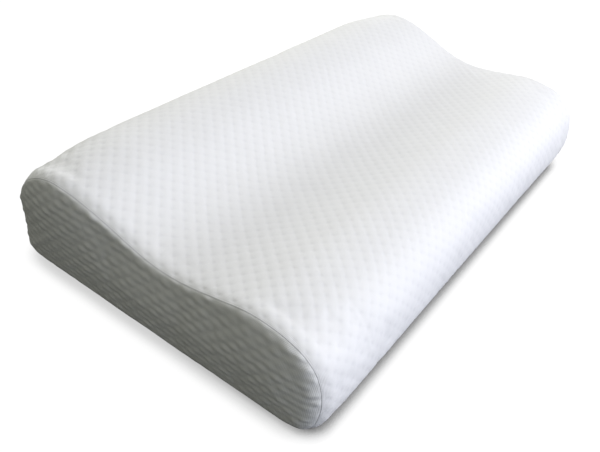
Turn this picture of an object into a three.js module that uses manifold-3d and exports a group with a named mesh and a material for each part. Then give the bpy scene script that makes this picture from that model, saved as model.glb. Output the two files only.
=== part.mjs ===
// Contour bed pillow: a moulded foam core in a thin inner liner and a zipped knitted cover.
// Millimetres. X runs along the pillow, -Y is the front with the low round lobe, +Y is the
// rear with the high lobe, +Z is up. The origin is the centre of the underside.

import * as THREE from 'three';
import { mergeVertices } from 'three/addons/utils/BufferGeometryUtils.js';
import Module from 'manifold-3d';

const wasm = await Module();
wasm.setup();

// ---------- driving dimensions ----------

const LENGTH = 600;
const END_ROUND_LENGTH = 14; // how far the rounded end edge reaches along X
const END_ROUND_DEPTH = 12; // how far the flat of the end stands in from the outline
const END_ROUND_STEPS = 3;
const UPPER_STEPS = 52; // points along the front, the top and the rear
const FOOT_STEPS = 6; // points round the lower rear edge

const COVER_THICKNESS = 3.5;
const LINER_THICKNESS = 0.6;
const GAP = 0.3; // room left between two pieces that touch on the real pillow

const SEAM_INSET_FRONT = 4; // how far the end seam stands in from the outline
const SEAM_INSET_REAR = 10;
const SEAM_BLEND_Z = [50, 85]; // the inset grows from front to rear between these heights
const SEAM_BLEND_Y = [20, 110]; // and between these depths
const WELT_WIDTH = 2;
const WELT_PROUD = 0.8;
const WELT_DEPTH = 1.6;

// The rear face is flat and upright where the zipper is sewn in.
const ZIP_FACE_Y = 165.5;
const ZIP_FACE_LOW = 18;
const ZIP_FACE_HIGH = 50;
const ZIP_Z = (ZIP_FACE_LOW + ZIP_FACE_HIGH) / 2;
const SLOT_LENGTH = 470;
const SLOT_HEIGHT = 24;

const TAPE_THICKNESS = 0.6;
const TAPE_BACK_Y = ZIP_FACE_Y - 2.4; // the tapes lie a little below the cover's face
const TAPE_SPLIT = 1.2; // gap between the two tapes, for the slider's post
const COIL_LENGTH = 454;
const COIL_WIDTH = 2.2;
const COIL_THICKNESS = 1.6;
const COIL_SPLIT = 1;
const COIL_BACK_Y = TAPE_BACK_Y + TAPE_THICKNESS + GAP;

const SLIDER_LENGTH = 10;
const SLIDER_HEIGHT = 7.8;
const SLIDER_PLATE = 0.8;
const SLIDER_FLANGE = 0.7;
const SLIDER_POST = 0.6;
const SLIDER_POST_LENGTH = 3;
const SLIDER_BACK_Y = TAPE_BACK_Y - GAP - SLIDER_PLATE;
const SLIDER_FRONT_Y = COIL_BACK_Y + COIL_THICKNESS + GAP;
const SLIDER_FACE_Y = SLIDER_FRONT_Y + SLIDER_PLATE;
const SLIDER_REST_X = -COIL_LENGTH / 2 + SLIDER_LENGTH / 2 + 0.5;

const BAIL_LENGTH = 7.4;
const BAIL_WIDTH = 1.6;
const BAIL_HEIGHT = 2;
const BAIL_ROOF = 0.5;
const BAIL_LEG = 1;
const BAIL_ROOT = 0.2; // how far the bail's legs run into the front plate

const TAB_LENGTH = 24;
const TAB_WIDTH = 6;
const TAB_THICKNESS = 0.8;
const TAB_WINDOW_WIDTH = 2.6;
const TAB_WINDOW_LENGTH = 4.2;
const TAB_TAPER = 0.6; // how much less the tab's round end is in half width than its bar
const TAB_AXIS_Y = SLIDER_FACE_Y + 0.75; // the middle of the space under the bail
const TAB_HOLE_RADIUS = 1.2;

const STOP_LENGTH = 3;
const STOP_WIDTH = 2.8;
const STOP_THICKNESS = 1.8;

const THREAD = 0.5;
const STITCH_MARGIN = 2; // from the slot's edge to the line of stitches
const TACK_LENGTH = 1.2;
const TACK_HEIGHT = 12;
const LABEL_LENGTH = 28;
const LABEL_HEIGHT = 26;
const LABEL_THICKNESS = 0.4;
const LABEL_END_X = LENGTH / 2 - END_ROUND_LENGTH;

const CUT_MARGIN = 1; // how far a cutting block runs past the face that it cuts
const PLUG_MARGIN = 6; // how far an end plug runs past the rounded end edge

// ---------- materials ----------

function fabric(color) {
  return new THREE.MeshStandardMaterial({ color, roughness: 0.95, metalness: 0 });
}

const materials = {
  foam: new THREE.MeshStandardMaterial({ color: 0xf3ecd6, roughness: 0.9, metalness: 0 }),
  liner: fabric(0xf4f4f2),
  cover: fabric(0xf3f3f5),
  welt: fabric(0xececee),
  tape: fabric(0xeeeeee),
  thread: fabric(0xe6e6e8),
  label: fabric(0xfafafa),
  coil: new THREE.MeshStandardMaterial({ color: 0xf0f0f0, roughness: 0.45, metalness: 0 }),
  metal: new THREE.MeshStandardMaterial({ color: 0xc9cbce, roughness: 0.3, metalness: 1 }),
};

// ---------- the outline ----------

// From the front foot up the front roll, over both lobes and down to the zipper face.
// Points are [y, z].
const FRONT_AND_TOP = [
  [-139, 0],
  [-154, 3.5],
  [-163.5, 13],
  [-167.5, 28],
  [-168, 44],
  [-165, 61],
  [-158.5, 75],
  [-147, 86],
  [-130, 93],
  [-109, 96],
  [-87, 95.5],
  [-63, 90.5],
  [-39, 85.5],
  [-17, 83],
  [5, 84.5],
  [27, 90],
  [51, 98.5],
  [74, 106],
  [95, 110.5],
  [115, 112],
  [135, 108.5],
  [152, 99.5],
  [163.5, 85.5],
  [168, 71.5],
  [167.5, 60],
  [ZIP_FACE_Y, ZIP_FACE_HIGH],
];

// The rounded lower rear edge, from the zipper face to the flat underside.
const REAR_FOOT = [
  [ZIP_FACE_Y, ZIP_FACE_LOW],
  [161.5, 8.5],
  [152, 2],
  [139, 0],
];

function splinePoints(points, steps) {
  const curve = new THREE.SplineCurve(points.map(([y, z]) => new THREE.Vector2(y, z)));
  return curve.getSpacedPoints(steps);
}

// The whole outline as evenly spaced points, walked from the front foot over the top.
const OUTLINE = [
  ...splinePoints(FRONT_AND_TOP, UPPER_STEPS),
  ...splinePoints(REAR_FOOT, FOOT_STEPS),
  new THREE.Vector2(0, 0),
];

// The outline moved inwards. inset is a length, or a function of a point that gives one.
function insetOutline(inset) {
  const count = OUTLINE.length;
  return OUTLINE.map((point, i) => {
    const before = OUTLINE[(i + count - 1) % count];
    const after = OUTLINE[(i + 1) % count];
    const along = after.clone().sub(before).normalize();
    const inwards = new THREE.Vector2(along.y, -along.x);
    const amount = typeof inset === 'function' ? inset(point) : inset;
    return point.clone().addScaledVector(inwards, amount);
  });
}

// The end seam lies further in on the high rear lobe than along the front.
function seamInset(point) {
  const high = THREE.MathUtils.smoothstep(point.y, ...SEAM_BLEND_Z);
  const rearward = THREE.MathUtils.smoothstep(point.x, ...SEAM_BLEND_Y);
  return THREE.MathUtils.lerp(SEAM_INSET_FRONT, SEAM_INSET_REAR, high * rearward);
}

// ---------- solids ----------

// Turns a shape drawn in (y, z) and extruded along its own z into one that runs along X.
const ALONG_X = new THREE.Matrix4().makeBasis(
  new THREE.Vector3(0, 1, 0),
  new THREE.Vector3(0, 0, 1),
  new THREE.Vector3(1, 0, 0),
);

function toSolid(geometry) {
  const plain = geometry.clone();
  plain.deleteAttribute('normal');
  plain.deleteAttribute('uv');
  const merged = mergeVertices(plain, 1e-4);
  return new wasm.Manifold(
    new wasm.Mesh({
      numProp: 3,
      vertProperties: new Float32Array(merged.attributes.position.array),
      triVerts: new Uint32Array(merged.index.array),
    }),
  );
}

function toGeometry(solid) {
  const { vertProperties, triVerts } = solid.getMesh();
  const geometry = new THREE.BufferGeometry();
  geometry.setAttribute('position', new THREE.BufferAttribute(vertProperties, 3));
  geometry.setIndex(new THREE.BufferAttribute(triVerts, 1));
  geometry.computeVertexNormals();
  return geometry;
}

// The pillow's form, shrunk by inset on every side. A negative inset grows it.
function form(inset) {
  const round = END_ROUND_LENGTH - inset;
  const depth = END_ROUND_DEPTH - inset;
  const geometry = new THREE.ExtrudeGeometry(new THREE.Shape(insetOutline(inset)), {
    depth: LENGTH - 2 * END_ROUND_LENGTH,
    steps: 1,
    bevelEnabled: true,
    bevelThickness: round,
    bevelSize: depth,
    bevelOffset: -depth,
    bevelSegments: END_ROUND_STEPS,
  });
  geometry.translate(0, 0, -(LENGTH / 2 - END_ROUND_LENGTH));
  return toSolid(geometry.applyMatrix4(ALONG_X));
}

// The skin between two insets.
function skin(outer, inner) {
  return form(outer).subtract(form(inner));
}

// A plug through one end whose side wall stands on the seam, shifted inwards by shift.
function endPlug(side, shift) {
  const outline = insetOutline((point) => seamInset(point) + shift);
  const reach = END_ROUND_LENGTH + PLUG_MARGIN;
  const geometry = new THREE.ExtrudeGeometry(new THREE.Shape(outline), {
    depth: 2 * reach,
    bevelEnabled: false,
  });
  geometry.translate(0, 0, (side * LENGTH) / 2 - reach);
  return toSolid(geometry.applyMatrix4(ALONG_X));
}

function boxSolid(x0, x1, y0, y1, z0, z1) {
  const geometry = new THREE.BoxGeometry(x1 - x0, y1 - y0, z1 - z0);
  geometry.translate((x0 + x1) / 2, (y0 + y1) / 2, (z0 + z1) / 2);
  return toSolid(geometry);
}

// ---------- sub-parts ----------

const pillow = new THREE.Group();

function addPart(name, solid, material) {
  const mesh = new THREE.Mesh(toGeometry(solid), material);
  mesh.name = name;
  pillow.add(mesh);
  return mesh;
}

const SIDES = { left: -1, right: 1 };

function addFoam() {
  const inset = COVER_THICKNESS + LINER_THICKNESS + 2 * GAP;
  addPart('foam_core', form(inset), materials.foam);
}

// A sleeve round the pillow that is open at both ends, and the panel that closes each end.
function addSleeve(names, outer, inner, split, slot, material) {
  const layer = skin(outer, inner);
  let wrap = layer;
  for (const [label, side] of Object.entries(SIDES)) {
    wrap = wrap.subtract(endPlug(side, outer - split));
    addPart(names.end + label, layer.intersect(endPlug(side, outer + split)), material);
  }
  addPart(names.wrap, slot ? wrap.subtract(slot) : wrap, material);
}

function addLiner() {
  const outer = COVER_THICKNESS + GAP;
  const names = { wrap: 'liner_wrap', end: 'liner_end_' };
  addSleeve(names, outer, outer + LINER_THICKNESS, GAP / 2, null, materials.liner);
}

function addCover() {
  const slot = boxSolid(
    -SLOT_LENGTH / 2,
    SLOT_LENGTH / 2,
    ZIP_FACE_Y - COVER_THICKNESS - CUT_MARGIN,
    ZIP_FACE_Y + CUT_MARGIN,
    ZIP_Z - SLOT_HEIGHT / 2,
    ZIP_Z + SLOT_HEIGHT / 2,
  );
  const names = { wrap: 'cover_wrap', end: 'cover_end_' };
  addSleeve(names, 0, COVER_THICKNESS, WELT_WIDTH / 2 + GAP, slot, materials.cover);
}

function addWelts() {
  const layer = skin(-WELT_PROUD, WELT_DEPTH);
  for (const [label, side] of Object.entries(SIDES)) {
    const band = endPlug(side, -WELT_WIDTH / 2).subtract(endPlug(side, WELT_WIDTH / 2));
    addPart(`seam_welt_${label}`, layer.intersect(band), materials.welt);
  }
}

function sorted(a, b) {
  return a < b ? [a, b] : [b, a];
}

// Both halves of the zipper: side is 1 above the middle and -1 below it.
function addZipperChain() {
  const coilY = [COIL_BACK_Y, COIL_BACK_Y + COIL_THICKNESS];
  const stopY = [COIL_BACK_Y, COIL_BACK_Y + STOP_THICKNESS];
  for (const [label, side] of Object.entries({ upper: 1, lower: -1 })) {
    const tapeEdge = SLOT_HEIGHT / 2 - GAP;
    const tapeZ = sorted(ZIP_Z + (side * TAPE_SPLIT) / 2, ZIP_Z + side * tapeEdge);
    const tapeHalf = SLOT_LENGTH / 2 - GAP;
    addPart(
      `zipper_tape_${label}`,
      boxSolid(-tapeHalf, tapeHalf, TAPE_BACK_Y, TAPE_BACK_Y + TAPE_THICKNESS, ...tapeZ),
      materials.tape,
    );
    const coilNear = ZIP_Z + (side * COIL_SPLIT) / 2;
    const coilZ = sorted(coilNear, coilNear + side * COIL_WIDTH);
    addPart(
      `zipper_coil_${label}`,
      boxSolid(-COIL_LENGTH / 2, COIL_LENGTH / 2, ...coilY, ...coilZ),
      materials.coil,
    );
    const stopX = -COIL_LENGTH / 2 - GAP;
    const stopZ = sorted(coilNear, coilNear + side * STOP_WIDTH);
    addPart(
      `zipper_top_stop_${label}`,
      boxSolid(stopX - STOP_LENGTH, stopX, ...stopY, ...stopZ),
      materials.metal,
    );
  }
  const endX = COIL_LENGTH / 2 + GAP;
  const reach = COIL_SPLIT / 2 + STOP_WIDTH;
  addPart(
    'zipper_bottom_stop',
    boxSolid(endX, endX + STOP_LENGTH, ...stopY, ZIP_Z - reach, ZIP_Z + reach),
    materials.metal,
  );
}

// Front and back plates joined by a post, with flanges round the coils and a bail on top.
function addSlider() {
  const x0 = SLIDER_REST_X - SLIDER_LENGTH / 2;
  const x1 = SLIDER_REST_X + SLIDER_LENGTH / 2;
  const half = SLIDER_HEIGHT / 2;
  const plateZ = [ZIP_Z - half, ZIP_Z + half];
  const postZ = [ZIP_Z - SLIDER_POST / 2, ZIP_Z + SLIDER_POST / 2];
  const backPlate = boxSolid(x0, x1, SLIDER_BACK_Y, SLIDER_BACK_Y + SLIDER_PLATE, ...plateZ);
  const frontPlate = boxSolid(x0, x1, SLIDER_FRONT_Y, SLIDER_FACE_Y, ...plateZ);
  const post = boxSolid(x0, x0 + SLIDER_POST_LENGTH, SLIDER_BACK_Y, SLIDER_FACE_Y, ...postZ);
  let slider = backPlate.add(frontPlate).add(post);
  for (const side of [-1, 1]) {
    const z = sorted(ZIP_Z + side * half, ZIP_Z + side * (half - SLIDER_FLANGE));
    slider = slider.add(boxSolid(x0, x1, COIL_BACK_Y, SLIDER_FACE_Y, ...z));
  }
  const bail = boxSolid(
    SLIDER_REST_X - BAIL_LENGTH / 2,
    SLIDER_REST_X + BAIL_LENGTH / 2,
    SLIDER_FACE_Y - BAIL_ROOT,
    SLIDER_FACE_Y + BAIL_HEIGHT,
    ZIP_Z - BAIL_WIDTH / 2,
    ZIP_Z + BAIL_WIDTH / 2,
  );
  const underBail = boxSolid(
    SLIDER_REST_X - BAIL_LENGTH / 2 + BAIL_LEG,
    SLIDER_REST_X + BAIL_LENGTH / 2 - BAIL_LEG,
    SLIDER_FACE_Y,
    SLIDER_FACE_Y + BAIL_HEIGHT - BAIL_ROOF,
    ZIP_Z - BAIL_WIDTH,
    ZIP_Z + BAIL_WIDTH,
  );
  addPart('zipper_slider', slider.add(bail.subtract(underBail)), materials.metal);
}

// A flat tab drawn in (x, z) with its pivot bar on x = 0: the bar runs under the bail and the
// window lets the tab swing over it from one side to the other.
function addPullTab() {
  const half = TAB_WIDTH / 2;
  const bar = TAB_THICKNESS / 2;
  const shape = new THREE.Shape();
  shape.moveTo(bar, -half);
  shape.lineTo(bar, half);
  shape.absarc(half - TAB_LENGTH, 0, half - TAB_TAPER, Math.PI / 2, (3 * Math.PI) / 2, false);
  const window = new THREE.Path();
  window.moveTo(-bar, -TAB_WINDOW_WIDTH / 2);
  window.lineTo(-bar, TAB_WINDOW_WIDTH / 2);
  window.lineTo(-bar - TAB_WINDOW_LENGTH, TAB_WINDOW_WIDTH / 2);
  window.lineTo(-bar - TAB_WINDOW_LENGTH, -TAB_WINDOW_WIDTH / 2);
  const hole = new THREE.Path();
  hole.absarc(half - TAB_LENGTH, 0, TAB_HOLE_RADIUS, 0, 2 * Math.PI, true);
  shape.holes.push(window, hole);
  const geometry = new THREE.ExtrudeGeometry(shape, {
    depth: TAB_THICKNESS,
    bevelEnabled: false,
    curveSegments: 8,
  });
  geometry.translate(0, 0, -TAB_THICKNESS / 2);
  geometry.rotateX(Math.PI / 2);
  geometry.translate(SLIDER_REST_X, TAB_AXIS_Y, ZIP_Z);
  addPart('zipper_pull_tab', toSolid(geometry), materials.metal);
}

function addStitching() {
  const y0 = ZIP_FACE_Y + GAP;
  const outerX = SLOT_LENGTH / 2 + STITCH_MARGIN;
  const outerZ = SLOT_HEIGHT / 2 + STITCH_MARGIN;
  const outer = boxSolid(-outerX, outerX, y0, y0 + THREAD, ZIP_Z - outerZ, ZIP_Z + outerZ);
  const innerX = outerX - THREAD;
  const innerZ = outerZ - THREAD;
  const innerY = [y0 - CUT_MARGIN, y0 + CUT_MARGIN];
  const inner = boxSolid(-innerX, innerX, ...innerY, ZIP_Z - innerZ, ZIP_Z + innerZ);
  addPart('zipper_topstitch', outer.subtract(inner), materials.thread);
  for (const [label, side] of Object.entries(SIDES)) {
    const near = side * (outerX + GAP);
    const x = sorted(near, near + side * TACK_LENGTH);
    addPart(
      `bar_tack_${label}`,
      boxSolid(...x, y0, y0 + THREAD, ZIP_Z - TACK_HEIGHT / 2, ZIP_Z + TACK_HEIGHT / 2),
      materials.thread,
    );
  }
}

function addLabel() {
  const y0 = ZIP_FACE_Y + GAP;
  const x = [LABEL_END_X - LABEL_LENGTH, LABEL_END_X];
  const z = [ZIP_Z - LABEL_HEIGHT / 2, ZIP_Z + LABEL_HEIGHT / 2];
  addPart('care_label', boxSolid(...x, y0, y0 + LABEL_THICKNESS, ...z), materials.label);
}

addFoam();
addLiner();
addCover();
addWelts();
addZipperChain();
addSlider();
addPullTab();
addStitching();
addLabel();

export default pillow;
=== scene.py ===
"""Looks of the contour bed pillow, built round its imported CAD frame.

A knitted cover (one wrap and two end panels) is made as real cloth over a foam core in a thin
liner. The sewn end seams, the zipper and its stitching are pieces of their own. Shapes are worked
out in millimetres in the frame's axes (X along the pillow, +Y rear, +Z up) and written in metres.
"""

import math

import bmesh
import bpy
import numpy as np
from mathutils import Matrix, Vector
from mathutils.geometry import delaunay_2d_cdt
from mathutils.kdtree import KDTree


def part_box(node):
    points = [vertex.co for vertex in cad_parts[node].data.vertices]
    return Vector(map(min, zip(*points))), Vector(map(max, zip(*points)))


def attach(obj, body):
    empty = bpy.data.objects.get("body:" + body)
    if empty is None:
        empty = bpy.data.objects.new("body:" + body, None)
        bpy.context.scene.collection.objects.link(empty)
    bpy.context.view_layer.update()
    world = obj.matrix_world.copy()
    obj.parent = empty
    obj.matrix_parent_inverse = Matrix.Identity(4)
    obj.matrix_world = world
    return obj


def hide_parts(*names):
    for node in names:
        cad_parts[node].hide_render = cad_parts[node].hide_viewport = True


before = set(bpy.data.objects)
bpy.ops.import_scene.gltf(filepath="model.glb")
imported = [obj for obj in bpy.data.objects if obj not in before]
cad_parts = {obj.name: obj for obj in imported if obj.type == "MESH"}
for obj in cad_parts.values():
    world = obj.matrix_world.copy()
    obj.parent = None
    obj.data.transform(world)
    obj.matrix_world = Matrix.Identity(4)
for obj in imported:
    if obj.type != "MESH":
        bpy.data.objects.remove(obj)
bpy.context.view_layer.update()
MM = 0.001

# ---------- driving dimensions, in millimetres ----------

LENGTH = 600
DROOP_POWER = 2.2  # how the form sinks from full height to the end seam
RIM_TURN = math.radians(55)  # the end panels' rounded rims begin this far turned from flat
REAR_BULGE = 4  # how far the ends stand out on the high rear lobe

ZIP_FACE_Y = 165.5
ZIP_FACE_LOW = 18
ZIP_FACE_HIGH = 50
ZIP_Z = 34
SLOT_LENGTH = 470
SLOT_HEIGHT = 24
LINER_INSET = 3.2
FOAM_INSET = 4.6

# The outline from the front foot up the front roll, over both lobes and down to the zipper face.
FRONT_AND_TOP = [
    (-139, 0), (-154, 3.5), (-163.5, 13), (-167.5, 28), (-168, 44), (-165, 61), (-158.5, 75),
    (-147, 86), (-130, 93), (-109, 96), (-87, 95.5), (-63, 90.5), (-39, 85.5), (-17, 83),
    (5, 84.5), (27, 90), (51, 98.5), (74, 106), (95, 110.5), (115, 112), (135, 108.5),
    (152, 99.5), (163.5, 85.5), (168, 71.5), (167.5, 60), (ZIP_FACE_Y, ZIP_FACE_HIGH),
]
REAR_FOOT = [(ZIP_FACE_Y, ZIP_FACE_LOW), (161.5, 8.5), (152, 2), (139, 0)]

# The end seam, round the outline: a place (y, z), the seam's inset there, how much of it is a slow
# sag of the last SAG_LENGTH, the length of the quick rounding and the radius of the panel's rim.
SAG_LENGTH = 80
SAG_POWER = 1.4
END_SEAM = [
    (0, 0, 4, 0, 12, 13), (-139, 0, 4, 0, 12, 12), (-163.5, 13, 4.6, 0.5, 12, 12),
    (-168, 44, 5.4, 2, 12, 15), (-163, 68, 8, 4, 12, 13), (-147, 86, 7.2, 4, 11, 8),
    (-109, 96, 5.6, 3.2, 8, 7), (-63, 90.5, 4.4, 2, 9, 5), (-17, 83, 4.4, 1, 11, 5),
    (40, 95, 6.6, 2, 12, 5), (74, 106, 7.4, 3, 12, 5), (115, 112, 8, 5, 9, 5),
    (152, 99.5, 12.8, 9, 14, 5), (167.5, 80, 13, 8, 20, 6), (ZIP_FACE_Y, 56, 8, 0, 18, 7),
    (ZIP_FACE_Y, 18, 10, 0, 18, 10), (152, 2, 8, 0, 14, 12), (139, 0, 5, 0, 12, 13),
]
FAR_REACH = 3  # how much further the right end stands out than the left one
FAR_TIP_REACH = 2.5  # how much more its front lobe does

# The knit's lozenges: dimples on a square lattice set corner to corner along the pillow.
WRAP_REPEAT = 14.4
PANEL_REPEAT = 13.4
WRAP_RELIEF = 0.28  # the wrap is stretched flatter than the panels
PANEL_RELIEF = 0.42
PANEL_SLANT = 0.09  # the panels' rows fall a little towards the front

SEAM_GROOVE = 0.15
SEAM_GROOVE_WIDTH = 0.8
WELT_RADIUS = 0.5
WELT_DEPTH = 0.24  # how far the welt's middle lies below the cover's face
PANEL_CROWN = 6.5  # how far the middle of an end panel stands out from its rim

UNEVENNESS = 0.2  # slow waves of the stretched cover
STITCH_GROOVE = 0.5  # where the topstitch pulls the cloth in beside the zipper slot
SLOT_ROLL = 0.35  # the slot's edge stands up a little

WRAP_STEP = 2.55
UNDERSIDE_STEP = 6.0  # the hidden underside needs less
PANEL_STEP = 1.5
LINER_STEP = 4.2
LINER_END_STEP = 3.4
HEM = [(0.2, 0.25), (0.0, 1.8)]  # the folded edges' rings: (how far sideways, how far inwards)

CLOTH_FRAMES = 20
CLOTH_CAP = 2.5
CLOTH_SHOWN = 0.35  # the stretched cover shows only part of the loose cloth's unevenness
WRAP_PRESSURE, WRAP_SLACK = 4, 0.012
PANEL_PRESSURE, PANEL_SLACK = 2, 0.01


# ---------- small maths ----------

def smoothstep(value, low, high):
    t = np.clip((value - low) / (high - low), 0, 1)
    return t * t * (3 - 2 * t)


def lerp(a, b, t):
    return a + (b - a) * t


def catmull_rom(points, samples=4000):
    """A dense uniform Catmull-Rom polyline through the points."""
    p = np.array(points, float)
    last = len(p) - 1
    t = np.linspace(0, last, samples)
    i = np.minimum(t.astype(int), last - 1)
    w = (t - i)[:, None]
    p0, p1 = p[np.maximum(i - 1, 0)], p[i]
    p2, p3 = p[i + 1], p[np.minimum(i + 2, last)]
    v1, v2 = (p2 - p0) / 2, (p3 - p1) / 2
    return (2 * (p1 - p2) + v1 + v2) * w**3 + (3 * (p2 - p1) - 2 * v1 - v2) * w**2 + v1 * w + p1


def value_noise(points, cell, seed):
    """Smooth noise in -1..1 at the points, on a lattice of random values cell apart."""
    rng = np.random.default_rng(seed)
    size = 64
    table = rng.uniform(-1, 1, (size, size, size))
    q = points / cell
    i = np.floor(q).astype(int)
    f = q - i
    f = f * f * (3 - 2 * f)
    total = np.zeros(len(points))
    for corner in np.ndindex(2, 2, 2):
        weight = np.prod(np.where(corner, f, 1 - f), axis=1)
        total += table[tuple(((i + corner) % size).T)] * weight
    return total


def smoothed(values, step, width):
    """Values a step apart round a closed loop, smoothed over the width."""
    wave = np.fft.fftfreq(len(values), step)
    keep = np.exp(-2 * (np.pi * wave * width) ** 2)
    spectrum = (np.fft.fft(values, axis=0).T * keep).T
    return np.real(np.fft.ifft(spectrum, axis=0))


def tree_of(points):
    """A search tree over points in space."""
    tree = KDTree(len(points))
    for i, point in enumerate(points):
        tree.insert(point, i)
    tree.balance()
    return tree


# ---------- the pillow's outline ----------

class Outline:
    """The closed cross-section, measured along its length from the middle of the underside."""

    STEP = 0.8
    SMOOTHING = 2.5
    KEY_SMOOTHING = 13

    def __init__(self):
        raw = np.vstack([catmull_rom(FRONT_AND_TOP), catmull_rom(REAR_FOOT), [FRONT_AND_TOP[0]]])
        middle = np.array([[0, 0]])
        loop = np.vstack([middle, raw[:-1], middle])
        travel = np.r_[0, np.cumsum(np.linalg.norm(np.diff(loop, axis=0), axis=1))]
        self.length = travel[-1]
        count = round(self.length / self.STEP)
        self.s = np.arange(count) * self.length / count
        even = np.c_[np.interp(self.s, travel, loop[:, 0]), np.interp(self.s, travel, loop[:, 1])]
        self.points = smoothed(even, self.length / count, self.SMOOTHING)
        along = np.roll(self.points, -1, axis=0) - np.roll(self.points, 1, axis=0)
        along /= np.linalg.norm(along, axis=1)[:, None]
        self.inwards = np.c_[along[:, 1], -along[:, 0]]

    def _at(self, s, values):
        return np.interp(s % self.length, self.s, values, period=self.length)

    def at(self, s, inset=0):
        y = self._at(s, self.points[:, 0]) + inset * self._at(s, self.inwards[:, 0])
        z = self._at(s, self.points[:, 1]) + inset * self._at(s, self.inwards[:, 1])
        return y, z

    def s_of(self, y, z):
        """The place along the outline that is nearest to a point."""
        return self.s[np.argmin(np.hypot(self.points[:, 0] - y, self.points[:, 1] - z))]

    def blend(self, keys):
        """A smooth function of the place along the outline, from (y, z, value) keys."""
        at = np.array([self.s_of(y, z) for y, z, _ in keys])
        even = np.interp(self.s, at, [value for _, _, value in keys], period=self.length)
        values = smoothed(even, self.length / len(even), self.KEY_SMOOTHING)
        return lambda s: self._at(s, values)

    def nearest(self, y, z):
        """For many points: the distance inwards from the outline, and the place along it."""
        tree = tree_of([(py, pz, 0) for py, pz in self.points])
        found = [tree.find((a, b, 0)) for a, b in zip(y, z)]
        index = np.array([f[1] for f in found])
        return np.array([f[2] for f in found]), self.s[index]


OUTLINE = Outline()

seam_inset, sag, droop_length, rim_radius = (
    OUTLINE.blend([(key[0], key[1], key[i]) for key in END_SEAM]) for i in (2, 3, 4, 5)
)


def flat_x(y, z):
    """How far out the flat of an end panel is."""
    return LENGTH / 2 + REAR_BULGE * smoothstep(y, 20, 115) * smoothstep(z, 20, 100)


def seam_x(s):
    return flat_x(*OUTLINE.at(s, seam_inset(s))) - rim_radius(s) * (1 - math.cos(RIM_TURN))


def shrunk_x(x, inset):
    return x * (1 - 2 * inset / LENGTH)


def sinking(s, x, length):
    """From 0 at a length before the end seam to 1 at the seam."""
    return np.clip((np.abs(x) - seam_x(s)) / length + 1, 0, 1)


def sunk(s, x):
    """How far the form lies inside its full outline near the ends."""
    slow = sag(s) * sinking(s, x, SAG_LENGTH) ** SAG_POWER
    return slow + (seam_inset(s) - sag(s)) * sinking(s, x, droop_length(s)) ** DROOP_POWER


def reached(x, y):
    """The right end's last part is drawn out a little."""
    return x + (FAR_REACH + FAR_TIP_REACH * smoothstep(-y, 100, 150)) * smoothstep(x, 240, 300)


def on_form(s, x, inset=0):
    """Points of the form, from the place round the outline and the distance along the pillow."""
    y, z = OUTLINE.at(s, inset + sunk(s, x))
    return np.stack([reached(shrunk_x(x, inset), y), y, z], axis=-1)


def over_edge(s, x):
    """The distance from the pillow's middle, measured on the cloth over the rounded edge."""
    power = 2 * DROOP_POWER - 1
    bend = (DROOP_POWER * (seam_inset(s) - sag(s))) ** 2 / (2 * droop_length(s)) / power
    return x + np.sign(x) * 0.8 * bend * sinking(s, x, droop_length(s)) ** power


def panel_x(y, z, s, from_seam):
    """How far out an end panel is, at a distance in from the seam at place s."""
    radius = rim_radius(s)
    left = np.clip(math.sin(RIM_TURN) - from_seam / radius, 0, 0.99)
    return flat_x(y, z) - radius * (1 - np.sqrt(1 - left**2))


# ---------- mesh helpers ----------

def add_object(name, data):
    made = bpy.data.objects.new(name, data)
    bpy.context.scene.collection.objects.link(made)
    return made


def new_object(name, vertices, faces, uv=None):
    """A mesh object from millimetres. uv gives every vertex its place on the flat cloth."""
    mesh = bpy.data.meshes.new(name)
    mesh.from_pydata((np.asarray(vertices) * MM).tolist(), [], [tuple(f) for f in faces])
    if uv is not None:
        layer = mesh.uv_layers.new(name="cloth")
        corner = np.empty(len(mesh.loops), int)
        mesh.loops.foreach_get("vertex_index", corner)
        layer.data.foreach_set("uv", (np.asarray(uv)[corner] * MM).ravel())
    mesh.update()
    mesh.shade_smooth()
    return add_object(name, mesh)


def from_node(name, node):
    """An object in the shape of a CAD node, to be made finer."""
    made = add_object(name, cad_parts[node].data.copy())
    made.data.materials.clear()
    return made


def edit(made, change):
    """Changes an object's mesh by way of a bmesh."""
    form = bmesh.new()
    form.from_mesh(made.data)
    change(form)
    form.to_mesh(made.data)
    form.free()
    made.data.shade_smooth()
    made.data.update()


def vertex_array(mesh, attribute="co"):
    values = np.empty(len(mesh.vertices) * 3)
    mesh.vertices.foreach_get(attribute, values)
    return values.reshape(-1, 3)


def push_out(made, amount):
    """Moves every vertex along its normal by an amount in millimetres."""
    mesh = made.data
    points = vertex_array(mesh) + vertex_array(mesh, "normal") * (amount * MM)[:, None]
    mesh.vertices.foreach_set("co", points.ravel())
    mesh.update()


def apply_modifiers(made):
    """Puts the evaluated shape in the mesh and takes the modifiers away."""
    evaluated = made.evaluated_get(bpy.context.evaluated_depsgraph_get())
    baked = bpy.data.meshes.new_from_object(evaluated)
    made.modifiers.clear()
    made.data = baked
    return made


def marks(low, high, step, fine=(), fine_step=0.8, reach=4.5, exact=()):
    """Rising values from low to high: step apart, closer near the fine spots, through the exact."""
    values = [low]
    while values[-1] < high:
        here = values[-1]
        near = min((abs(here - spot) for spot in fine), default=reach)
        values.append(here + lerp(fine_step, step, float(smoothstep(near, reach * 0.6, reach * 2))))
    values = np.array(values)
    values = low + (values - low) * (high - low) / (values[-1] - low)
    for value in exact:
        values[np.argmin(np.abs(values - value))] = value
    return values


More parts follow.
